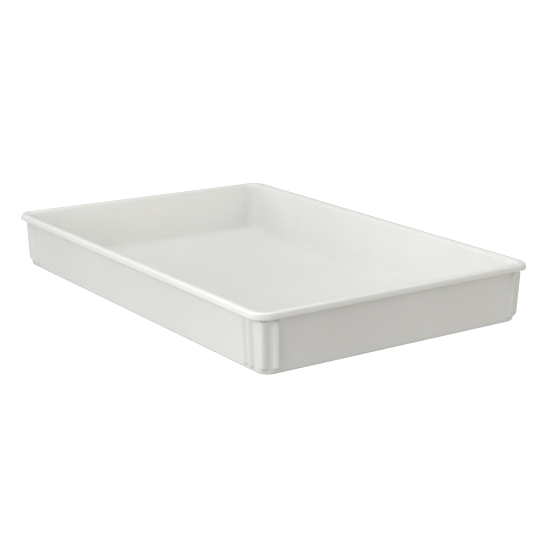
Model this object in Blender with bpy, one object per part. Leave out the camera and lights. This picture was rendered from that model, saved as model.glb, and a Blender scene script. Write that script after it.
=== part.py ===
"""Deep developing tray, moulded in one piece of white plastic.

The tray is a shell of nearly constant thickness: a flat floor, four drafted walls, and a flat
rim whose outer edge turns down into a lip. Each outer corner carries four upright ribs that
stop short of the base and of the lip. The shell is built as a stack of rounded rectangles ("rings")
that follows its cross-section from under the floor, up the outside, over the rim and down the
inside to the floor again.

Frame: origin at the middle of the base, +Z up, the long sides along Y, the short ones along X.
Units: metres.
"""

import math

import bmesh
import bpy

# Overall size, measured over the rim
RIM_LENGTH = 0.660
RIM_WIDTH = 0.458
HEIGHT = 0.082
RIM_CORNER_RADIUS = 0.024

# Shell thickness
WALL_THICKNESS = 0.0032
FLOOR_THICKNESS = 0.0034
RIM_THICKNESS = 0.0032

# Rim section: a flat top, a lip that leans out a little, a soft roll into the wall inside
LIP_DEPTH = 0.0088
LIP_THICKNESS = 0.0026
LIP_TILT = math.radians(10.0)
LIP_TOP_RADIUS = 0.0028
LIP_FOOT_CHAMFER = 0.0006
RIM_FLAT_END = 0.0065
RIM_ROLL_DROP = 0.0060

# Outer face of the walls, as insets (X, Y) from the rim's outer edge
WALL_TOP_INSET = (0.0107, 0.0072)
WALL_FOOT_INSET = (0.0152, 0.0088)
WALL_TOP_CORNER_RADIUS = 0.0200
WALL_FOOT_CORNER_RADIUS = 0.0180
BASE_EDGE_RADIUS = 0.0040
FLOOR_FILLET_RADIUS = 0.0060

# Upright ribs on each outer corner, as (centre, width). A centre is the distance along the wall from
# the middle of the corner: negative along the long side, positive along the short side
RIBS = ((-0.0335, 0.0110), (-0.0200, 0.0120), (-0.0010, 0.0140), (0.0152, 0.0110))
RIB_CREST = 0.30
RIB_HEIGHT = 0.0044
RIB_BOTTOM = 0.0055
RIB_TOP = HEIGHT - 0.0112
RIB_END_LENGTH = 0.0045

# How finely round stretches are divided
BASE_EDGE_STEPS = 3
LIP_TOP_STEPS = 3
RIM_ROLL_STEPS = 4
FLOOR_FILLET_STEPS = 4
RIB_END_STEPS = 2
RIB_SECTION_STEPS = 4

TRAY_COLOUR = (0.86, 0.86, 0.84, 1.0)
TRAY_ROUGHNESS = 0.38
SMOOTH_ANGLE = math.radians(32.0)


def clear_scene():
    """Remove every object that the file opened with."""
    for old_object in list(bpy.data.objects):
        bpy.data.objects.remove(old_object, do_unlink=True)


def blend(start, end, share):
    """Value a given share of the way from start to end."""
    return start + (end - start) * share


def corner_stations():
    """Distances along the wall, from the middle of a corner, where every ring has a point."""
    stations = []
    for centre, width in RIBS:
        for step in range(RIB_SECTION_STEPS + 1):
            stations.append(centre + width * (step / RIB_SECTION_STEPS - 0.5))
    return stations


def rib_relief(distance):
    """Height of the ribbed skin over the plain wall, 0 to 1, at a distance round the corner."""
    from_crest = min(abs(distance - centre) / (width / 2.0) for centre, width in RIBS)
    fall = math.hypot(from_crest, RIB_CREST) - RIB_CREST
    return max(0.0, 1.0 - fall / (math.hypot(1.0, RIB_CREST) - RIB_CREST))


def corner_point(distance, half_x, half_y, radius, outward):
    """Point of a ring near its +X +Y corner, and how far it stands outward of the ring."""
    arc_half = WALL_FOOT_CORNER_RADIUS * math.pi / 4.0
    beyond = max(0.0, abs(distance) - arc_half)
    on_arc = math.copysign(min(abs(distance), arc_half), distance)
    angle = math.pi / 4.0 + on_arc / WALL_FOOT_CORNER_RADIUS
    reach = radius + outward
    x = half_x - radius + reach * math.cos(angle)
    y = half_y - radius + reach * math.sin(angle)
    if distance > 0.0:
        return x - beyond, y
    return x, y - beyond


def add_ring(mesh, inset, radius, height, rib_height=0.0):
    """Add one rounded rectangle, inset from the rim's outer edge, counter-clockwise from above."""
    half_x = RIM_WIDTH / 2.0 - inset[0]
    half_y = RIM_LENGTH / 2.0 - inset[1]
    ring = []
    stations = corner_stations()
    for sign_x, sign_y in ((1, 1), (-1, 1), (-1, -1), (1, -1)):
        ordered = stations if sign_x * sign_y > 0 else reversed(stations)
        for distance in ordered:
            outward = rib_height * rib_relief(distance)
            x, y = corner_point(distance, half_x, half_y, radius, outward)
            ring.append(mesh.verts.new((sign_x * x, sign_y * y, height)))
    return ring


def wall_inset(height):
    """Inset of the wall's outer face at a height, following the draft."""
    share = height / (HEIGHT - RIM_ROLL_DROP)
    return tuple(blend(foot, top, share) for foot, top in zip(WALL_FOOT_INSET, WALL_TOP_INSET))


def wall_radius(height):
    """Corner radius of the wall's outer face at a height."""
    share = height / (HEIGHT - RIM_ROLL_DROP)
    return blend(WALL_FOOT_CORNER_RADIUS, WALL_TOP_CORNER_RADIUS, share)


def grown(inset, amount):
    """The same inset, moved inward by an amount on both axes."""
    return inset[0] + amount, inset[1] + amount


def base_edge_rings(mesh):
    """Rounded lower edge, from the flat underside out to the wall."""
    rings = []
    for step in range(BASE_EDGE_STEPS + 1):
        angle = math.pi / 2.0 * step / BASE_EDGE_STEPS
        inward = BASE_EDGE_RADIUS * (1.0 - math.sin(angle))
        height = BASE_EDGE_RADIUS * (1.0 - math.cos(angle))
        inset = grown(wall_inset(height), inward)
        rings.append(add_ring(mesh, inset, wall_radius(height) - inward, height))
    return rings


def ribbed_wall_rings(mesh):
    """Outer face of the wall, with ribs that start and end in a quarter round."""
    rings = []
    bottom_angles = [math.pi / 2.0 * step / RIB_END_STEPS for step in range(RIB_END_STEPS + 1)]
    for angle in bottom_angles:
        height = RIB_BOTTOM + RIB_END_LENGTH * (1.0 - math.cos(angle))
        relief = RIB_HEIGHT * math.sin(angle)
        rings.append(add_ring(mesh, wall_inset(height), wall_radius(height), height, relief))
    for angle in reversed(bottom_angles):
        height = RIB_TOP - RIB_END_LENGTH * (1.0 - math.cos(angle))
        relief = RIB_HEIGHT * math.sin(angle)
        rings.append(add_ring(mesh, wall_inset(height), wall_radius(height), height, relief))
    return rings


def rim_roll_inset(angle, thickness):
    """Inset and height of the roll between rim and wall, measured under or over the shell."""
    centre_height = HEIGHT - RIM_ROLL_DROP
    reach = [RIM_FLAT_END + (wall - RIM_FLAT_END + thickness) * math.sin(angle)
             for wall in WALL_TOP_INSET]
    drop_radius = RIM_ROLL_DROP - RIM_THICKNESS + (RIM_THICKNESS if thickness else 0.0)
    return tuple(reach), centre_height + drop_radius * math.cos(angle)


def roll_radius(angle, thickness):
    """Corner radius of a ring on the roll."""
    flat_radius = RIM_CORNER_RADIUS - RIM_FLAT_END
    return blend(flat_radius, WALL_TOP_CORNER_RADIUS - thickness, math.sin(angle))


def lip_run(height):
    """How far the leaning lip has moved inward at a height."""
    above_foot = height - (HEIGHT - LIP_DEPTH + LIP_FOOT_CHAMFER)
    return math.tan(LIP_TILT) * max(0.0, above_foot)


def edge_ring(mesh, inward, height):
    """Ring of the lip, the same distance inside the rim's outer edge all round."""
    return add_ring(mesh, (inward, inward), RIM_CORNER_RADIUS - inward, height)


def rim_underside_rings(mesh):
    """Underside of the rim, from the wall out to the inner face of the lip."""
    rings = []
    for step in range(RIM_ROLL_STEPS, -1, -1):
        angle = math.pi / 2.0 * step / RIM_ROLL_STEPS
        inset, height = rim_roll_inset(angle, 0.0)
        rings.append(add_ring(mesh, inset, roll_radius(angle, 0.0), height))
    for height in (HEIGHT - RIM_THICKNESS, HEIGHT - LIP_DEPTH):
        rings.append(edge_ring(mesh, LIP_THICKNESS + lip_run(height), height))
    return rings


def lip_rings(mesh):
    """Foot, outer face and rounded top edge of the lip, to the start of the flat rim."""
    foot = HEIGHT - LIP_DEPTH
    rings = [edge_ring(mesh, LIP_FOOT_CHAMFER, foot),
             edge_ring(mesh, 0.0, foot + LIP_FOOT_CHAMFER)]
    start = HEIGHT - LIP_TOP_RADIUS * (1.0 - math.sin(LIP_TILT))
    centre = lip_run(start) + LIP_TOP_RADIUS * math.cos(LIP_TILT)
    for step in range(LIP_TOP_STEPS + 1):
        angle = blend(LIP_TILT, math.pi / 2.0, step / LIP_TOP_STEPS)
        rings.append(edge_ring(mesh, centre - LIP_TOP_RADIUS * math.cos(angle),
                               HEIGHT - LIP_TOP_RADIUS * (1.0 - math.sin(angle))))
    return rings


def rim_roll_rings(mesh):
    """Roll from the flat rim down into the inner face of the wall."""
    rings = []
    for step in range(RIM_ROLL_STEPS + 1):
        angle = math.pi / 2.0 * step / RIM_ROLL_STEPS
        inset, height = rim_roll_inset(angle, WALL_THICKNESS)
        rings.append(add_ring(mesh, inset, roll_radius(angle, WALL_THICKNESS), height))
    return rings


def floor_fillet_rings(mesh):
    """Fillet between the inner face of the wall and the floor."""
    rings = []
    for step in range(FLOOR_FILLET_STEPS + 1):
        angle = math.pi / 2.0 * step / FLOOR_FILLET_STEPS
        inward = FLOOR_FILLET_RADIUS * (1.0 - math.cos(angle))
        height = FLOOR_THICKNESS + FLOOR_FILLET_RADIUS * (1.0 - math.sin(angle))
        inset = grown(wall_inset(height), WALL_THICKNESS + inward)
        radius = wall_radius(height) - WALL_THICKNESS - inward
        rings.append(add_ring(mesh, inset, radius, height))
    return rings


def skin_between(mesh, lower, upper):
    """Join two rings with a band of four-sided faces."""
    count = len(lower)
    for index in range(count):
        following = (index + 1) % count
        mesh.faces.new((lower[index], lower[following], upper[following], upper[index]))


def tray_material():
    """Satin white plastic."""
    material = bpy.data.materials.new("tray_plastic")
    material.use_nodes = True
    shader = material.node_tree.nodes["Principled BSDF"]
    shader.inputs["Base Color"].default_value = TRAY_COLOUR
    shader.inputs["Roughness"].default_value = TRAY_ROUGHNESS
    shader.inputs["Metallic"].default_value = 0.0
    return material


def build_tray():
    """The whole tray as one closed shell."""
    shell = bmesh.new()
    rings = base_edge_rings(shell)
    rings += ribbed_wall_rings(shell)
    rings += rim_underside_rings(shell)
    rings += lip_rings(shell)
    rings += rim_roll_rings(shell)
    rings += floor_fillet_rings(shell)
    for lower, upper in zip(rings, rings[1:]):
        skin_between(shell, lower, upper)
    shell.faces.new(list(reversed(rings[0])))
    shell.faces.new(rings[-1])
    bmesh.ops.recalc_face_normals(shell, faces=shell.faces)

    mesh = bpy.data.meshes.new("tray")
    shell.to_mesh(mesh)
    shell.free()
    mesh.shade_smooth()
    mesh.set_sharp_from_angle(angle=SMOOTH_ANGLE)
    mesh.materials.append(tray_material())
    tray = bpy.data.objects.new("tray", mesh)
    tray.location = (0.0, 0.0, 0.0)
    bpy.context.scene.collection.objects.link(tray)
    return tray


clear_scene()
build_tray()
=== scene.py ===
"""Looks of the deep developing tray: a fine skin for the moulding, its satin white plastic, a pale
studio, soft light and the camera.

The skin is a stack of rounded rectangles ("rings") that follows the tray's cross-section from under
the floor, up the outside, over the rim and down the inside to the floor again.
Units: metres, +Z up, the long sides along Y.
"""

import math

import bmesh
import bpy
from mathutils import Matrix, Vector


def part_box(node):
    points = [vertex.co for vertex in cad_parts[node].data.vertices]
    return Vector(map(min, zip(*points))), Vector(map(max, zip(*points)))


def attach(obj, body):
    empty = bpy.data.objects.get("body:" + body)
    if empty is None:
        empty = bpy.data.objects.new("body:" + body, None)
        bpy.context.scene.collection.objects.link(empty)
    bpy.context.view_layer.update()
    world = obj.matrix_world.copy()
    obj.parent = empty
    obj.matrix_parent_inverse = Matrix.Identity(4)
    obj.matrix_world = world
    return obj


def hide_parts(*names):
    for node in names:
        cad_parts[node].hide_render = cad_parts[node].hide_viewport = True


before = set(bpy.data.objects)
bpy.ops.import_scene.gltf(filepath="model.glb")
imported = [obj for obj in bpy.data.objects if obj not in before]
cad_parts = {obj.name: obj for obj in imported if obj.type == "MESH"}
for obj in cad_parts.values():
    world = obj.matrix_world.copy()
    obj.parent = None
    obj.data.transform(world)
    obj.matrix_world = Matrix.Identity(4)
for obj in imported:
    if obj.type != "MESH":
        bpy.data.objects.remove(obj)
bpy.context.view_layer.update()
LOW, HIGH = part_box("tray")

# Overall size, from the frame
HALF_WIDTH = (HIGH.x - LOW.x) / 2.0
HALF_LENGTH = (HIGH.y - LOW.y) / 2.0
HEIGHT = HIGH.z - LOW.z
CENTRE = Vector(((HIGH.x + LOW.x) / 2.0, (HIGH.y + LOW.y) / 2.0, LOW.z))

# Shell thickness
WALL_THICKNESS = 0.0032
FLOOR_THICKNESS = 0.0034
RIM_THICKNESS = 0.0032

# Rim section: a flat top, a lip that leans out a little, a soft roll into the wall inside
RIM_CORNER_RADIUS = 0.024
LIP_DEPTH = 0.0088
LIP_THICKNESS = 0.0026
LIP_TOP_RADIUS = 0.0028
LIP_TILT = math.radians(10.0)
LIP_EDGE_RADIUS = 0.0005
RIM_FLAT_END = 0.0065
RIM_ROLL_DROP = 0.0060

# Outer face of the walls, as insets (X, Y) from the rim's outer edge
WALL_TOP_INSET = (0.0107, 0.0072)
WALL_FOOT_INSET = (0.0152, 0.0088)
WALL_TOP_CORNER_RADIUS = 0.0200
WALL_FOOT_CORNER_RADIUS = 0.0180
BASE_EDGE_RADIUS = 0.0040
FLOOR_FILLET_RADIUS = 0.0060

# Upright ribs on each outer corner, as (centre, width). A centre is the distance along the wall from
# the middle of the corner: negative along the long side, positive along the short side. The roundness
# of crest and root is a share of a rib's half-width and height
RIBS = ((-0.0335, 0.0110), (-0.0200, 0.0120), (-0.0010, 0.0140), (0.0152, 0.0110))
RIB_HEIGHT = 0.0044
RIB_BOTTOM = 0.0055
RIB_TOP = HEIGHT - 0.0112
RIB_END_LENGTH = 0.0045
RIB_CREST = 0.30
RIB_ROOT = 0.10

# How finely the skin is divided
STATION_STEP = 0.0007
STATION_MARGIN = 4.0 * STATION_STEP
SIDE_STEPS = 24
WALL_STEP = 0.0060
WALL_TOP_MARGIN = 0.0010
RIB_END_STEP = 0.0006
ARC_STEPS = 12
LIP_EDGE_STEPS = 5
LIP_ROOF_STEPS = 4
SMOOTH_ANGLE = math.radians(50.0)

# Slight rise and fall of a large moulding, as two waves at right angles
WAVE_HEIGHT = 0.00011
WAVE_LENGTH = 0.16
WAVE_SHORTENING_Y = 0.83
WAVE_SHIFT_X = 0.7
WAVE_SHIFT_Y = 2.1

# Plastic: colours, gloss, and how far light spreads inside it
PLASTIC_DARK = (0.790, 0.788, 0.766, 1.0)
PLASTIC_LIGHT = (0.830, 0.830, 0.812, 1.0)
SCUFF_COLOUR = (0.955, 0.948, 0.930, 1.0)
SCUFF_DARKENING = 0.6
SCUFF_ROUGHENING = 0.16
ROUGHNESS_LOW = 0.36
ROUGHNESS_HIGH = 0.44
SPECK_ROUGHNESS = 0.03
PLASTIC_IOR = 1.51
GLOW_WEIGHT = 0.35
GLOW_RADIUS = (1.0, 0.92, 0.80)
GLOW_SCALE = 0.0025

# Plastic: features of its surface, in repeats per metre, and their heights
CLOUD_SCALE = 3.1
MOTTLE_SCALE = 14.0
PULL_SCALE = 36.0
SPECK_SCALE = 620.0
GRAIN_SCALE = 1900.0
GRAIN_HEIGHT = 0.000018
PULL_HEIGHT = 0.00012
SCUFF_DEPTH = 0.00002
RELIEF_STRENGTH = 0.8

# Plastic: hairline scuffs in two directions, as (direction, scale of the patches they lie in)
SCUFF_SETS = ((0.35, 11.0), (1.85, 14.0))
SCUFF_STRETCH = (34.0, 1500.0, 1500.0)

# Light: surroundings, floor, and softboxes as name, place, target, size, power and colour. One
# without a target faces straight down.
WORLD_LIGHT = 0.445
FLOOR_GLOW = 0.75
FLOOR_GAP = 0.0002
STUDIO_REACH = 30.0
BACKDROP_SIDES = 64
NEUTRAL = (1.0, 1.0, 1.0)
WARM = (1.0, 0.94, 0.80)
SOFTBOXES = (
    ("overhead", (0.0, 0.0, 2.2), None, (2.0, 2.0), 15.8, NEUTRAL),
    ("near_end", (-0.5, -0.35, 0.9), None, (0.6, 0.3), 1.4, NEUTRAL),
    ("left", (-1.2, -0.45, 0.48), (-0.23, -0.2, 0.05), (0.7, 0.7), 6.1, NEUTRAL),
    ("left_back", (-2.0, 1.3, 0.6), (-0.23, 0.0, 0.05), (0.9, 0.9), 9.0, NEUTRAL),
    ("front_right", (0.67, -1.47, 0.45), (0.0, -0.33, 0.06), (0.6, 0.6), 3.6, WARM),
)

# Camera, fitted to the rim and base edges; sensor and lens in millimetres
CAMERA_PLACE = Vector((-1.11425, -1.59529, 0.55321))
CAMERA_AZIMUTH = math.radians(54.311)
CAMERA_DROP = math.radians(15.248)
CAMERA_ROLL = math.radians(0.765)
SENSOR_WIDTH = 36.0
LENS = 89.8887


def blend(start, end, share):
    """Value a given share of the way from start to end."""
    return start + (end - start) * share


def corner_stations():
    """Distances from the middle of a corner where every ring has a point."""
    first = min(centre - width / 2.0 for centre, width in RIBS) - STATION_MARGIN
    last = max(centre + width / 2.0 for centre, width in RIBS) + STATION_MARGIN
    count = math.ceil((last - first) / STATION_STEP)
    return [blend(first, last, step / count) for step in range(count + 1)]


STATIONS = corner_stations()


def rib_relief(distance, height):
    """How far the ribbed skin stands off the plain wall, at a distance round the corner.

    A rib has straight flanks, a rounded crest and a softened root.
    """
    above = max(0.0, height - (RIB_TOP - RIB_END_LENGTH))
    below = max(0.0, RIB_BOTTOM + RIB_END_LENGTH - height)
    past_end = max(above, below) / RIB_END_LENGTH
    from_crest = min(abs(distance - centre) / (width / 2.0) for centre, width in RIBS)
    fall = math.hypot(from_crest, past_end, RIB_CREST) - RIB_CREST
    share = 1.0 - fall / (math.hypot(1.0, RIB_CREST) - RIB_CREST)
    return RIB_HEIGHT * (share + math.hypot(share, RIB_ROOT)) / 2.0


def wave(x, y, height):
    """Slow rise and fall of the moulding, which is nothing at the base and grows to the rim."""
    turn = 2.0 * math.pi / WAVE_LENGTH
    rise = height / HEIGHT
    along_x = math.sin(turn * x + WAVE_SHIFT_X)
    along_y = math.sin(turn * WAVE_SHORTENING_Y * y + WAVE_SHIFT_Y)
    return WAVE_HEIGHT * rise * (along_x + along_y) / 2.0


def corner_point(distance, half_x, half_y, radius, outward):
    """Point of a ring near its +X +Y corner."""
    arc_half = WALL_FOOT_CORNER_RADIUS * math.pi / 4.0
    beyond = max(0.0, abs(distance) - arc_half)
    on_arc = math.copysign(min(abs(distance), arc_half), distance)
    angle = math.pi / 4.0 + on_arc / WALL_FOOT_CORNER_RADIUS
    reach = radius + outward
    x = half_x - radius + reach * math.cos(angle)
    y = half_y - radius + reach * math.sin(angle)
    if distance > 0.0:
        return x - beyond, y
    return x, y - beyond


def ring_outline(inset, radius, height, ribbed):
    """Points of one rounded rectangle, counter-clockwise from above."""
    half_x = HALF_WIDTH - inset[0]
    half_y = HALF_LENGTH - inset[1]
    corners = []
    for sign_x, sign_y in ((1, 1), (-1, 1), (-1, -1), (1, -1)):
        ordered = STATIONS if sign_x * sign_y > 0 else list(reversed(STATIONS))
        corner = []
        for distance in ordered:
            outward = rib_relief(distance, height) if ribbed else 0.0
            x, y = corner_point(distance, half_x, half_y, radius, outward)
            corner.append((sign_x * x, sign_y * y))
        corners.append(corner)
    outline = []
    for index, corner in enumerate(corners):
        outline += corner
        start = corner[-1]
        end = corners[(index + 1) % len(corners)][0]
        for step in range(1, SIDE_STEPS):
            share = step / SIDE_STEPS
            outline.append((blend(start[0], end[0], share), blend(start[1], end[1], share)))
    return outline


def add_ring(mesh, inset, radius, height, ribbed=False):
    """Add one ring of points to the mesh."""
    ring = []
    for x, y in ring_outline(inset, radius, height, ribbed):
        ring.append(mesh.verts.new((x, y, height + wave(x, y, height))))
    return ring


def wall_inset(height):
    """Inset of the wall's outer face at a height, following the draft."""
    share = height / (HEIGHT - RIM_ROLL_DROP)
    return tuple(blend(foot, top, share) for foot, top in zip(WALL_FOOT_INSET, WALL_TOP_INSET))


def wall_radius(height):
    """Corner radius of the wall's outer face at a height."""
    share = height / (HEIGHT - RIM_ROLL_DROP)
    return blend(WALL_FOOT_CORNER_RADIUS, WALL_TOP_CORNER_RADIUS, share)


def grown(inset, amount):
    """The same inset, moved inward by an amount on both axes."""
    return inset[0] + amount, inset[1] + amount


def quarter(steps=ARC_STEPS):
    """Angles of a quarter turn."""
    return [math.pi / 2.0 * step / steps for step in range(steps + 1)]


def base_edge_rings(mesh):
    """Rounded lower edge, from the flat underside out to the wall."""
    rings = []
    for angle in quarter():
        inward = BASE_EDGE_RADIUS * (1.0 - math.sin(angle))
        height = BASE_EDGE_RADIUS * (1.0 - math.cos(angle))
        inset = grown(wall_inset(height), inward)
        rings.append(add_ring(mesh, inset, wall_radius(height) - inward, height))
    return rings


def wall_heights():
    """Heights of the rings on the outer wall, close together where the ribs start and end."""
    heights = []
    height = RIB_BOTTOM - RIB_END_STEP
    while height < HEIGHT - RIM_ROLL_DROP - WALL_TOP_MARGIN:
        heights.append(height)
        near_end = (height < RIB_BOTTOM + RIB_END_LENGTH
                    or RIB_TOP - RIB_END_LENGTH - WALL_STEP < height < RIB_TOP + RIB_END_STEP)
        height += RIB_END_STEP if near_end else WALL_STEP
    return heights


def ribbed_wall_rings(mesh):
    """Outer face of the wall with its ribs."""
    return [add_ring(mesh, wall_inset(height), wall_radius(height), height, ribbed=True)
            for height in wall_heights()]


def rim_roll_inset(angle, thickness):
    """Inset and height of the roll between rim and wall, measured under or over the shell."""
    centre_height = HEIGHT - RIM_ROLL_DROP
    reach = [RIM_FLAT_END + (wall - RIM_FLAT_END + thickness) * math.sin(angle)
             for wall in WALL_TOP_INSET]
    drop_radius = RIM_ROLL_DROP - RIM_THICKNESS + (RIM_THICKNESS if thickness else 0.0)
    return tuple(reach), centre_height + drop_radius * math.cos(angle)


def roll_radius(angle, thickness):
    """Corner radius of a ring on the roll."""
    flat_radius = RIM_CORNER_RADIUS - RIM_FLAT_END
    return blend(flat_radius, WALL_TOP_CORNER_RADIUS - thickness, math.sin(angle))


def edge_ring(mesh, inward, height):
    """Ring of the lip, the same distance inside the rim's outer edge all round."""
    return add_ring(mesh, (inward, inward), RIM_CORNER_RADIUS - inward, height)


def lip_run(height):
    """How far the leaning lip has moved inward at a height."""
    above_foot = height - (HEIGHT - LIP_DEPTH + LIP_EDGE_RADIUS)
    return math.tan(LIP_TILT) * max(0.0, above_foot)


def rim_underside_rings(mesh):
    """Underside of the rim, from the wall out to the inner face of the lip."""
    rings = []
    for angle in reversed(quarter()):
        inset, height = rim_roll_inset(angle, 0.0)
        rings.append(add_ring(mesh, inset, roll_radius(angle, 0.0), height))
    roof = HEIGHT - RIM_THICKNESS
    for angle in quarter(LIP_ROOF_STEPS):
        inward = LIP_THICKNESS + LIP_EDGE_RADIUS * (1.0 - math.sin(angle))
        height = roof - LIP_EDGE_RADIUS * (1.0 - math.cos(angle))
        rings.append(edge_ring(mesh, inward + lip_run(height), height))
    return rings


def lip_rings(mesh):
    """Rounded foot, leaning face and rounded top edge of the lip."""
    foot = HEIGHT - LIP_DEPTH
    rings = []
    for angle in quarter(LIP_EDGE_STEPS):
        inward = LIP_THICKNESS - LIP_EDGE_RADIUS * (1.0 - math.cos(angle))
        height = foot + LIP_EDGE_RADIUS * (1.0 - math.sin(angle))
        rings.append(edge_ring(mesh, inward + lip_run(height), height))
    for angle in quarter(LIP_EDGE_STEPS):
        inward = LIP_EDGE_RADIUS * (1.0 - math.sin(angle))
        height = foot + LIP_EDGE_RADIUS * (1.0 - math.cos(angle))
        rings.append(edge_ring(mesh, inward + lip_run(height), height))
    start = HEIGHT - LIP_TOP_RADIUS * (1.0 - math.sin(LIP_TILT))
    centre = lip_run(start) + LIP_TOP_RADIUS * math.cos(LIP_TILT)
    for step in range(ARC_STEPS + 1):
        angle = blend(LIP_TILT, math.pi / 2.0, step / ARC_STEPS)
        rings.append(edge_ring(mesh, centre - LIP_TOP_RADIUS * math.cos(angle),
                               HEIGHT - LIP_TOP_RADIUS * (1.0 - math.sin(angle))))
    return rings


def rim_roll_rings(mesh):
    """Roll from the flat rim down into the inner face of the wall."""
    rings = []
    for angle in quarter():
        inset, height = rim_roll_inset(angle, WALL_THICKNESS)
        rings.append(add_ring(mesh, inset, roll_radius(angle, WALL_THICKNESS), height))
    return rings


def inner_wall_rings(mesh):
    """Inner face of the wall, below the roll."""
    rings = []
    top = HEIGHT - RIM_ROLL_DROP
    bottom = FLOOR_THICKNESS + FLOOR_FILLET_RADIUS
    count = math.ceil((top - bottom) / WALL_STEP)
    for step in range(1, count):
        height = blend(top, bottom, step / count)
        inset = grown(wall_inset(height), WALL_THICKNESS)
        rings.append(add_ring(mesh, inset, wall_radius(height) - WALL_THICKNESS, height))
    return rings


def floor_fillet_rings(mesh):
    """Fillet between the inner face of the wall and the floor."""
    rings = []
    for angle in quarter():
        inward = FLOOR_FILLET_RADIUS * (1.0 - math.cos(angle))
        height = FLOOR_THICKNESS + FLOOR_FILLET_RADIUS * (1.0 - math.sin(angle))
        inset = grown(wall_inset(height), WALL_THICKNESS + inward)
        radius = wall_radius(height) - WALL_THICKNESS - inward
        rings.append(add_ring(mesh, inset, radius, height))
    return rings


def skin_between(mesh, lower, upper):
    """Join two rings with a band of four-sided faces."""
    count = len(lower)
    for index in range(count):
        following = (index + 1) % count
        mesh.faces.new((lower[index], lower[following], upper[following], upper[index]))


def build_skin():
    """The visible skin of the whole tray, closed all round."""
    shell = bmesh.new()
    rings = base_edge_rings(shell)
    rings += ribbed_wall_rings(shell)
    rings += rim_underside_rings(shell)
    rings += lip_rings(shell)
    rings += rim_roll_rings(shell)
    rings += inner_wall_rings(shell)
    rings += floor_fillet_rings(shell)
    for lower, upper in zip(rings, rings[1:]):
        skin_between(shell, lower, upper)
    shell.faces.new(list(reversed(rings[0])))
    shell.faces.new(rings[-1])
    bmesh.ops.recalc_face_normals(shell, faces=shell.faces)
    mesh = bpy.data.meshes.new("tray_skin")
    shell.to_mesh(mesh)
    shell.free()
    mesh.shade_smooth()
    mesh.set_sharp_from_angle(angle=SMOOTH_ANGLE)
    skin = bpy.data.objects.new("tray_skin", mesh)
    skin.location = CENTRE
    bpy.context.scene.collection.objects.link(skin)
    return skin


def add_node(tree, kind, **values):
    """Add a shader node and set its properties."""
    node = tree.nodes.new(kind)
    for name, value in values.items():
        setattr(node, name, value)
    return node


def noise(tree, place, scale, detail=3.0, roughness=0.5):
    """Noise texture whose features are about 1/scale metres across."""
    node = add_node(tree, "ShaderNodeTexNoise")
    node.inputs["Scale"].default_value = scale
    node.inputs["Detail"].default_value = detail
    node.inputs["Roughness"].default_value = roughness
    tree.links.new(place, node.inputs["Vector"])
    return node.outputs["Fac"]


def ranged(tree, value, low, high, to_low, to_high):
    """Map a value from one range to another, clamped."""
    node = add_node(tree, "ShaderNodeMapRange")
    for name, number in (("From Min", low), ("From Max", high),
                         ("To Min", to_low), ("To Max", to_high)):
        node.inputs[name].default_value = number
    tree.links.new(value, node.inputs["Value"])
    return node.outputs["Result"]


def combined(tree, operation, first, second):
    """Two values put together by a maths operation."""
    node = add_node(tree, "ShaderNodeMath", operation=operation)
    for slot, value in zip(node.inputs, (first, second)):
        if isinstance(value, (int, float)):
            slot.default_value = value
        else:
            tree.links.new(value, slot)
    return node.outputs["Value"]


def stretched(tree, place, turn, scale):
    """Coordinates turned about Z and stretched, for marks that run one way."""
    node = add_node(tree, "ShaderNodeMapping")
    node.inputs["Rotation"].default_value = (0.0, 0.0, turn)
    node.inputs["Scale"].default_value = scale
    tree.links.new(place, node.inputs["Vector"])
    return node.outputs["Vector"]


def scuffs(tree, place, turn, patch_scale):
    """Sparse hairline scuffs about 30 mm long, 0 to 1."""
    line = noise(tree, stretched(tree, place, turn, SCUFF_STRETCH), 1.0, detail=1.0)
    line = ranged(tree, line, 0.66, 0.72, 0.0, 1.0)
    patch = noise(tree, stretched(tree, place, turn, (1.0, 1.0, 1.0)), patch_scale)
    patch = ranged(tree, patch, 0.52, 0.66, 0.0, 1.0)
    return combined(tree, "MULTIPLY", line, patch)


def plastic_colour(tree, mottle, cloud, worn):
    """Faintly mottled white, a little darker in the scuffs."""
    tint = combined(tree, "ADD", ranged(tree, mottle, 0.3, 0.7, 0.0, 0.6),
                    ranged(tree, cloud, 0.35, 0.65, 0.0, 0.4))
    colour = add_node(tree, "ShaderNodeValToRGB")
    colour.color_ramp.elements[0].color = PLASTIC_DARK
    colour.color_ramp.elements[1].color = PLASTIC_LIGHT
    tree.links.new(tint, colour.inputs["Fac"])
    soil = add_node(tree, "ShaderNodeMixRGB", blend_type="MULTIPLY")
    soil.inputs["Color2"].default_value = SCUFF_COLOUR
    tree.links.new(colour.outputs["Color"], soil.inputs["Color1"])
    tree.links.new(combined(tree, "MULTIPLY", worn, SCUFF_DARKENING), soil.inputs["Fac"])
    return soil.outputs["Color"]


def plastic_roughness(tree, place, mottle, worn):
    """Satin gloss, which varies with the mottling, in fine specks and in the scuffs."""
    speck = noise(tree, place, SPECK_SCALE, detail=2.0)
    gloss = combined(tree, "ADD", ranged(tree, mottle, 0.3, 0.7, ROUGHNESS_LOW, ROUGHNESS_HIGH),
                     ranged(tree, speck, 0.35, 0.65, -SPECK_ROUGHNESS, SPECK_ROUGHNESS))
    return combined(tree, "ADD", gloss, combined(tree, "MULTIPLY", worn, SCUFF_ROUGHENING))


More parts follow.
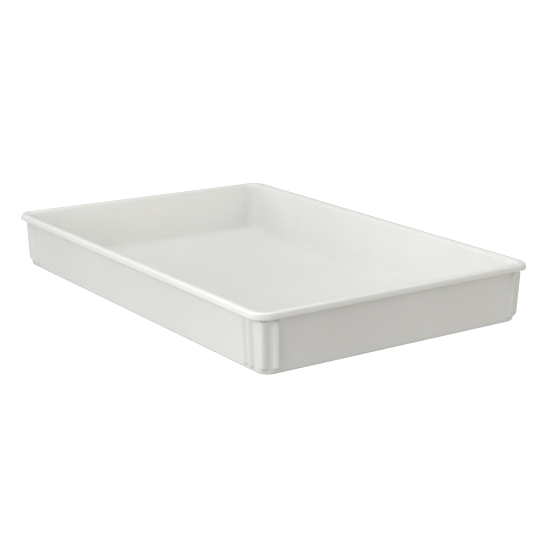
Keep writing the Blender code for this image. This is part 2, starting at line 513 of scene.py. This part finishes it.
def plastic_relief(tree, place, worn):
    """Fine grain, the slow pull of cooling plastic, and the depth of the scuffs."""
    grain = noise(tree, place, GRAIN_SCALE, detail=3.0, roughness=0.6)
    pull = noise(tree, place, PULL_SCALE, detail=2.0)
    height = combined(tree, "ADD", combined(tree, "MULTIPLY", grain, GRAIN_HEIGHT),
                      combined(tree, "MULTIPLY", pull, PULL_HEIGHT))
    height = combined(tree, "SUBTRACT", height, combined(tree, "MULTIPLY", worn, SCUFF_DEPTH))
    bump = add_node(tree, "ShaderNodeBump")
    bump.inputs["Strength"].default_value = RELIEF_STRENGTH
    bump.inputs["Distance"].default_value = 1.0
    tree.links.new(height, bump.inputs["Height"])
    return bump.outputs["Normal"]


def plastic_material():
    """Satin white moulded plastic with fine grain, faint mottling and light wear."""
    material = bpy.data.materials.new("tray_plastic_look")
    material.use_nodes = True
    tree = material.node_tree
    shader = tree.nodes["Principled BSDF"]
    shader.inputs["IOR"].default_value = PLASTIC_IOR
    shader.inputs["Subsurface Weight"].default_value = GLOW_WEIGHT
    shader.inputs["Subsurface Radius"].default_value = GLOW_RADIUS
    shader.inputs["Subsurface Scale"].default_value = GLOW_SCALE

    place = add_node(tree, "ShaderNodeTexCoord").outputs["Object"]
    mottle = noise(tree, place, MOTTLE_SCALE, detail=5.0, roughness=0.6)
    cloud = noise(tree, place, CLOUD_SCALE, detail=2.0)
    first, second = [scuffs(tree, place, turn, scale) for turn, scale in SCUFF_SETS]
    worn = combined(tree, "MINIMUM", combined(tree, "ADD", first, second), 1.0)
    tree.links.new(plastic_colour(tree, mottle, cloud, worn), shader.inputs["Base Color"])
    tree.links.new(plastic_roughness(tree, place, mottle, worn), shader.inputs["Roughness"])
    tree.links.new(plastic_relief(tree, place, worn), shader.inputs["Normal"])
    return material


def floor_material():
    """Plain matt white sweep."""
    material = bpy.data.materials.new("studio_floor")
    material.use_nodes = True
    shader = material.node_tree.nodes["Principled BSDF"]
    shader.inputs["Base Color"].default_value = (0.90, 0.90, 0.90, 1.0)
    shader.inputs["Roughness"].default_value = 0.9
    shader.inputs["Specular IOR Level"].default_value = 0.1
    shader.inputs["Emission Color"].default_value = (1.0, 1.0, 1.0, 1.0)
    shader.inputs["Emission Strength"].default_value = FLOOR_GLOW
    return material


def add_floor(material):
    """Pale floor under the tray, which doesn't light the tray with its own glow."""
    mesh = bpy.data.meshes.new("studio_floor")
    mesh.from_pydata([(-STUDIO_REACH, -STUDIO_REACH, 0.0), (STUDIO_REACH, -STUDIO_REACH, 0.0),
                      (STUDIO_REACH, STUDIO_REACH, 0.0), (-STUDIO_REACH, STUDIO_REACH, 0.0)],
                     [], [(0, 1, 2, 3)])
    mesh.materials.append(material)
    floor = bpy.data.objects.new("studio_floor", mesh)
    floor.location.z = LOW.z - FLOOR_GAP
    floor.visible_diffuse = False
    floor.visible_glossy = False
    bpy.context.scene.collection.objects.link(floor)


def add_backdrop(material):
    """Pale wall all round, far off, which neither lights nor shades the tray."""
    shell = bmesh.new()
    bmesh.ops.create_cone(shell, cap_ends=False, segments=BACKDROP_SIDES, radius1=STUDIO_REACH,
                          radius2=STUDIO_REACH, depth=STUDIO_REACH)
    mesh = bpy.data.meshes.new("studio_backdrop")
    shell.to_mesh(mesh)
    shell.free()
    mesh.materials.append(material)
    backdrop = bpy.data.objects.new("studio_backdrop", mesh)
    backdrop.visible_diffuse = False
    backdrop.visible_glossy = False
    backdrop.visible_transmission = False
    backdrop.visible_shadow = False
    bpy.context.scene.collection.objects.link(backdrop)


def add_softbox(name, place, target, size, power, colour):
    """Softbox that faces a target, or straight down when it has none."""
    data = bpy.data.lights.new(name, "AREA")
    data.shape = "RECTANGLE"
    data.size, data.size_y = size
    data.energy = power
    data.color = colour
    lamp = bpy.data.objects.new(name, data)
    lamp.location = place
    if target is not None:
        lamp.rotation_mode = "QUATERNION"
        lamp.rotation_quaternion = (Vector(target) - Vector(place)).to_track_quat("-Z", "Y")
    bpy.context.scene.collection.objects.link(lamp)


def add_light():
    """Even white surroundings and the softboxes."""
    world = bpy.data.worlds.new("studio")
    bpy.context.scene.world = world
    world.use_nodes = True
    sky = world.node_tree.nodes["Background"]
    sky.inputs["Color"].default_value = (1.0, 1.0, 1.0, 1.0)
    sky.inputs["Strength"].default_value = WORLD_LIGHT
    for softbox in SOFTBOXES:
        add_softbox(*softbox)


def add_camera():
    """Camera at its fitted place and angle."""
    ahead = Vector((math.cos(CAMERA_AZIMUTH) * math.cos(CAMERA_DROP),
                    math.sin(CAMERA_AZIMUTH) * math.cos(CAMERA_DROP), -math.sin(CAMERA_DROP)))
    level = Vector((math.sin(CAMERA_AZIMUTH), -math.cos(CAMERA_AZIMUTH), 0.0))
    upright = level.cross(ahead)
    right = level * math.cos(CAMERA_ROLL) + upright * math.sin(CAMERA_ROLL)
    up = upright * math.cos(CAMERA_ROLL) - level * math.sin(CAMERA_ROLL)
    turn = Matrix((right, up, -ahead)).transposed()
    data = bpy.data.cameras.new("camera")
    data.sensor_width = SENSOR_WIDTH
    data.lens = LENS
    data.dof.use_dof = False
    camera = bpy.data.objects.new("camera", data)
    camera.matrix_world = Matrix.Translation(CAMERA_PLACE) @ turn.to_4x4()
    bpy.context.scene.collection.objects.link(camera)
    bpy.context.scene.camera = camera


skin = build_skin()
skin.data.materials.append(plastic_material())
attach(skin, "root")
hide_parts("tray")
studio_white = floor_material()
add_floor(studio_white)
add_backdrop(studio_white)
add_light()
add_camera()
bpy.context.scene.view_settings.view_transform = "Standard"
